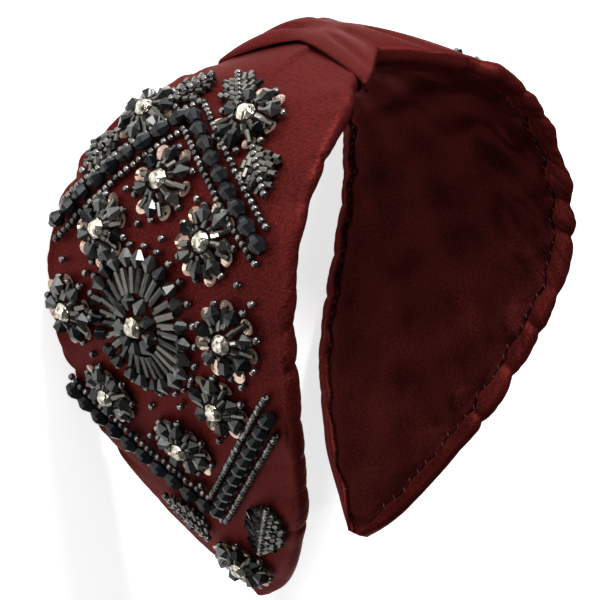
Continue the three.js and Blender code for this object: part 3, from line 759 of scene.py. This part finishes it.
bicone_bead = model_crystal(BICONE, BICONE_LENGTH, sides=6, end=0.28, waist=0)
ray_bugle = model_bugle(radius=1.0, length=6.0)
rosette_stone = model_stone(STONE_RADIUS)
crystal_glass = bead_material(
    "smoke_crystal", dark=(0.008, 0.009, 0.010), light=(0.12, 0.12, 0.115), gloss=0.05, metallic=0.85
)
bugle_glass = bead_material(
    "bugle_glass", dark=(0.012, 0.012, 0.012), light=(0.12, 0.115, 0.10), gloss=0.06, metallic=0.85
)
stone_foil = bead_material(
    "foiled_stone", dark=(0.04, 0.036, 0.028), light=(0.68, 0.63, 0.53), gloss=0.04, metallic=0.9,
    streak=3.0, relief=1.0,
)


def ring(side, along, across, count, radius, height, start=0.0, tilt=0.0, jitter=0.0, roll=0.0):
    """Beads pointing outwards in a ring round a spot on the face."""
    angle = start + 2 * np.pi * np.arange(count) / count + rng.normal(0, jitter, count)
    away = radius + rng.normal(0, 2.5 * jitter, count)
    place = (along + away * np.cos(angle), across + away * np.sin(angle))
    return lay(side, *place, height, angle, tilt, roll)


def tones_for(places, low, high):
    return rng.uniform(low, high, len(places[1]))


for half, side in HALVES:
    spot = (side, ROSETTE_ALONG, ROSETTE_ACROSS)
    stone = lay(side, np.array([ROSETTE_ALONG]), ROSETTE_ACROSS, 1.0, 0.3)
    inner = ring(*spot, count=9, radius=5.2, height=2.7, tilt=-0.25, jitter=0.05)
    rays = ring(*spot, count=28, radius=9.9, height=1.4, tilt=-0.05, jitter=0.015)
    outer = ring(*spot, count=23, radius=14.6, height=2.0, start=0.1, jitter=0.02)
    tips = ring(*spot, count=23, radius=17.4, height=1.1, start=0.1, jitter=0.02)
    rosette = string_beads(
        f"{half}_sunburst",
        [
            (rosette_stone, stone, stone_foil, False, tones_for(stone, -1.0, -0.8)),
            (bicone_bead, inner, crystal_glass, False, tones_for(inner, -0.2, 0.5)),
            (ray_bugle, rays, bugle_glass, False, tones_for(rays, -0.2, 0.6)),
            (bicone_bead, outer, crystal_glass, False, tones_for(outer, -0.3, 0.5)),
            (seed_bead, tips, seed_metal, True, tones_for(tips, 0.0, 0.8)),
        ],
    )
    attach(rosette, "root")
    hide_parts(f"{half}_rosette")

# Beaded flowers, eleven on each half: a foiled stone in a collar of short bugles, six or seven
# bicones as petals with a seed bead at each end, and champagne sequins held by bugles between them.
FLOWERS = (  # along from the arch, across to the back, reach of the petals
    (41.5, -10.5, 7.4), (45, 20, 6.8), (60, 3.5, 7.4), (73.5, 18.5, 6.8), (69.5, -14.5, 7.2),
    (95, 29.5, 7.2), (88.5, -23.5, 7.4), (116.5, 21.5, 7), (106.5, -18, 7.2), (125.5, -0.5, 7.4),
    (170.5, -2, 7.2),
)
FULL_REACH = 7.4
SEQUIN = 1.9


def model_sequin(radius):
    """Flat cupped ring, pierced in the middle."""
    bpy.ops.object.select_all(action="DESELECT")
    bpy.ops.mesh.primitive_torus_add(
        major_segments=14, minor_segments=4, major_radius=0.62 * radius, minor_radius=0.38 * radius
    )
    pick(bpy.context.object, lambda co: True)
    bpy.ops.transform.resize(value=(1, 1, 0.14))
    pick(bpy.context.object, lambda co: math.hypot(co.x, co.y) > 0.8 * radius)
    bpy.ops.transform.translate(value=(0, 0, 0.18 * radius))
    bpy.ops.object.mode_set(mode="OBJECT")
    return take()


flower_stone = model_stone(radius=2.5)
short_bugle = model_bugle(radius=0.8, length=2.4)
long_bugle = model_bugle(radius=0.75, length=3.2)
sequin_ring = model_sequin(SEQUIN)
sequin_film = bead_material(
    "champagne_sequin", dark=(0.20, 0.12, 0.09), light=(0.66, 0.50, 0.40), gloss=0.08, metallic=0.75
)

for half, side in HALVES:
    for number, (along, across, reach) in enumerate(FLOWERS, 1):
        spot = (side, along, across)
        size = reach / FULL_REACH
        petals = 7 if number % 3 else 6
        turn = rng.uniform(0, 2 * np.pi)
        between = turn + np.pi / petals
        stone = lay(side, np.array([along]), across, 0.9, turn)
        collar = ring(*spot, count=11, radius=3.7 * size, height=2.2, start=turn, tilt=-0.45, jitter=0.08)
        petal = ring(*spot, count=petals, radius=6.0 * size, height=2.2, start=turn, tilt=-0.12, jitter=0.05)
        tip = ring(*spot, count=petals, radius=8.4 * size, height=1.3, start=turn, jitter=0.05)
        sequin = ring(
            *spot, count=petals, radius=7.3 * size, height=1.0, start=between, tilt=0.2, jitter=0.07
        )
        holder = ring(
            *spot, count=petals, radius=6.0 * size, height=1.75, start=between, tilt=-0.2, jitter=0.05
        )
        flower = string_beads(
            f"{half}_blossom_{number}",
            [
                (flower_stone, stone, stone_foil, False, tones_for(stone, -1.1, -0.8)),
                (short_bugle, collar, bugle_glass, False, tones_for(collar, -0.1, 0.7)),
                (bicone_bead, petal, crystal_glass, False, tones_for(petal, -0.3, 0.6)),
                (seed_bead, tip, seed_metal, True, tones_for(tip, 0.0, 0.8)),
                (sequin_ring, sequin, sequin_film, False, tones_for(sequin, -0.1, 0.6)),
                (long_bugle, holder, bugle_glass, False, tones_for(holder, 0.0, 0.8)),
            ],
        )
        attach(flower, "root")
        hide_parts(f"{half}_flower_{number}")

# Beaded leaves, six on each half: a rib of seed beads from base to tip, with slanting rows of
# short bugles on both sides, shorter towards the ends, so that they fill an almond.
LEAVES = (  # base along and across, tip along and across, half width
    (38.0, -5.0, 29.5, 3.0, 4.4), (41.0, 15.5, 31.0, 9.0, 4.2), (48.0, -17.0, 57.5, -26.5, 4.4),
    (51.0, 25.0, 63.0, 31.0, 4.2), (160.5, -11.5, 138.0, -22.0, 5.2), (162.5, 5.5, 149.0, 16.5, 4.8),
)
LEAF_SLANT, LEAF_PITCH, BUGLE_PITCH = 1.1, 1.8, 2.3
leaf_bugle = model_bugle(radius=0.78, length=2.0)

for half, side in HALVES:
    for number, (from_along, from_across, to_along, to_across, width) in enumerate(LEAVES, 1):
        run = np.array((to_along - from_along, to_across - from_across))
        length = float(np.hypot(*run))
        run = run / length
        heading = math.atan2(run[1], run[0])
        aside = np.array((-run[1], run[0]))
        ribs = np.arange(0.4, length, SEED_PITCH)
        rib = lay(side, from_along + ribs * run[0], from_across + ribs * run[1], 1.9, heading)
        groups = [(seed_bead, rib, seed_metal, True, tones_for(rib, -0.1, 0.7))]
        for sign in (-1, 1):
            rows = np.arange(-1.5, length, LEAF_PITCH)
            for step in (0, 1, 2):
                away = 1.3 + step * BUGLE_PITCH / math.hypot(1, LEAF_SLANT)
                ahead = rows + LEAF_SLANT * away
                outline = width * np.sin(np.pi * np.clip(ahead / length, 0, 1) ** 0.85)
                inside = outline > away - 0.3
                ahead = ahead[inside] + rng.normal(0, 0.15, np.count_nonzero(inside))
                place = (
                    from_along + ahead * run[0] + sign * away * aside[0],
                    from_across + ahead * run[1] + sign * away * aside[1],
                )
                slant = heading + sign * math.atan2(1, LEAF_SLANT) + rng.normal(0, 0.16, len(ahead))
                height = 1.6 - 0.25 * step + rng.normal(0, 0.2, len(ahead))
                bugles = lay(side, *place, height, slant, rng.normal(0, 0.12, len(ahead)))
                groups.append((leaf_bugle, bugles, bugle_glass, False, tones_for(bugles, -0.3, 1.0)))
        leaf = string_beads(f"{half}_beaded_leaf_{number}", groups)
        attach(leaf, "root")
        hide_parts(f"{half}_leaf_{number}")

# Loose seed beads: the same coated beads as in the chevrons, sewn down singly on the satin to
# fill the ground between the flowers.
LOOSE = (  # along, across
    (63.5, 14.5), (61.5, -8), (70, 7.5), (71.5, -1), (83.5, 32), (84.5, 23), (76, -25), (79, -29.5),
    (105.5, 24), (115, 6.5), (111, -4.5), (126.5, 11.5), (118.5, -14), (98.5, -26.5), (139.5, -0.5),
)
for half, side in HALVES:
    along, across = np.array(LOOSE, dtype=float).T
    places = lay(side, along, across, 0.95, rng.uniform(0, np.pi, len(LOOSE)))
    tones = tones_for(places, 0, 0.8)
    loose = string_beads(f"{half}_loose_seeds", [(seed_bead, places, seed_metal, True, tones)])
    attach(loose, "root")

# Felling stitches: short slanting stitches of red sewing thread at an even pitch, which hold the
# lining down to the hems.
STITCH_START, STITCH_END = 26, LINING_END - 4
STITCH_PITCH, STITCH_LENGTH, STITCH_STEP, THREAD = 3.2, 1.5, 0.35, 0.13
thread_red = bead_material(
    "sewing_thread", dark=(0.012, 0.0018, 0.0017), light=(0.04, 0.005, 0.005), gloss=0.5, metallic=0.0
)
stitch = model_crystal(THREAD, STITCH_LENGTH, sides=6, end=0.6, waist=0.6)
for half, side in HALVES:
    axes, origins = [], []
    for sign in (-1, 1):
        at = np.arange(STITCH_START, STITCH_END, STITCH_PITCH)
        front, back = edges(at)
        width = front if sign < 0 else back
        seam = sign * (width - seam_inset(at, width))
        here = band(side * at, seam, LINING_LEVEL)
        ahead = band(side * (at + 0.5), seam, LINING_LEVEL) - here
        over = band(side * at, seam + STITCH_STEP * sign, LINING_LEVEL) - here
        line = ahead + over
        line = line / np.linalg.norm(line, axis=1, keepdims=True)
        up = np.cross(line, ahead)
        up = up / np.linalg.norm(up, axis=1, keepdims=True)
        axes.append(np.stack((line, np.cross(up, line), up), axis=-1))
        origins.append(here)
    places = (np.concatenate(axes), np.concatenate(origins))
    tones = tones_for(places, 0, 0.6)
    stitches = string_beads(f"{half}_stitches", [(stitch, places, thread_red, True, tones)])
    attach(stitches, "root")

# Floor: plain and white, large enough to fill the picture, and faintly lit so that it stays white.
bpy.ops.object.select_all(action="DESELECT")
bpy.ops.mesh.primitive_plane_add(size=6)
floor = bpy.context.object
floor.name = "floor"
floor_white = bpy.data.materials.new("floor_white")
floor_white.use_nodes = True
paint = floor_white.node_tree.nodes["Principled BSDF"]
paint.inputs["Base Color"].default_value = (0.92, 0.92, 0.92, 1)
paint.inputs["Roughness"].default_value = 0.9
paint.inputs["Emission Color"].default_value = (1, 1, 1, 1)
paint.inputs["Emission Strength"].default_value = 0.7
floor.data.materials.append(floor_white)

# Camera: above the floor at the photograph's angle to the band, which is given as worn.
CAMERA_AZIMUTH, CAMERA_ELEVATION, CAMERA_ROLL = -50.01, 20.34, 1.86  # degrees
CAMERA_DISTANCE = 389.5
CAMERA_TARGET = (-6.0, 2.72, -65.34)
FOCAL_SHARE = 1496.6 / 600  # focal length by the picture's width


def laid_down(vector):
    """A direction of the band as worn, once it lies on its back edge."""
    return Vector((vector[0], vector[2], -vector[1]))


azimuth, elevation = math.radians(CAMERA_AZIMUTH), math.radians(CAMERA_ELEVATION)
roll = math.radians(CAMERA_ROLL)
back = Vector((
    math.sin(azimuth) * math.cos(elevation),
    -math.cos(azimuth) * math.cos(elevation),
    math.sin(elevation),
))
right = Vector((0, 0, 1)).cross(back).normalized()
up = back.cross(right)
right, up = math.cos(roll) * right + math.sin(roll) * up, math.cos(roll) * up - math.sin(roll) * right
right, up, back = laid_down(right), laid_down(up), laid_down(back)
target = MM * (laid_down(CAMERA_TARGET) + Vector((0, ARCH_Y, REST_LEVEL)))
camera = bpy.data.objects.new("camera", bpy.data.cameras.new("camera"))
bpy.context.collection.objects.link(camera)
camera.data.sensor_width = 36
camera.data.lens = 36 * FOCAL_SHARE
turned = Matrix((right, up, back)).transposed()
camera.matrix_world = Matrix.Translation(target + back * CAMERA_DISTANCE * MM) @ turned.to_4x4()
bpy.context.scene.camera = camera

# Lights: a large soft key from the upper right of the picture, a weaker fill from the left and a
# broad ceiling light, with three small lamps that glint in the facets of the beads.
LIGHTS = (  # name, right, up and towards the camera from the target (metres), size, watts
    ("key", 0.55, 0.75, 0.75, 0.4, 16.0),
    ("fill", -0.55, 0.2, 0.95, 0.4, 3.0),
    ("ceiling", 0.0, 0.9, 0.6, 1.0, 9.0),
    ("glint_left", -0.5, 0.5, 0.6, 0.06, 1.6),
    ("glint_top", 0.1, 0.7, 0.4, 0.06, 1.6),
    ("glint_low", -0.2, -0.2, 0.9, 0.06, 1.6),
)
for name, to_right, to_up, to_camera, size, watts in LIGHTS:
    lamp = bpy.data.lights.new(name, "AREA")
    lamp.shape = "DISK"
    lamp.size = size
    lamp.energy = watts
    light = bpy.data.objects.new(name, lamp)
    bpy.context.collection.objects.link(light)
    light.location = target + to_right * right + to_up * up + to_camera * back
    light.rotation_euler = (target - light.location).to_track_quat("-Z", "Y").to_euler()

bpy.context.scene.view_settings.view_transform = "Standard"
world = bpy.data.worlds.new("studio")
bpy.context.scene.world = world
world.use_nodes = True
surroundings = world.node_tree.nodes["Background"]
surroundings.inputs["Color"].default_value = (1, 1, 1, 1)
surroundings.inputs["Strength"].default_value = 0.1
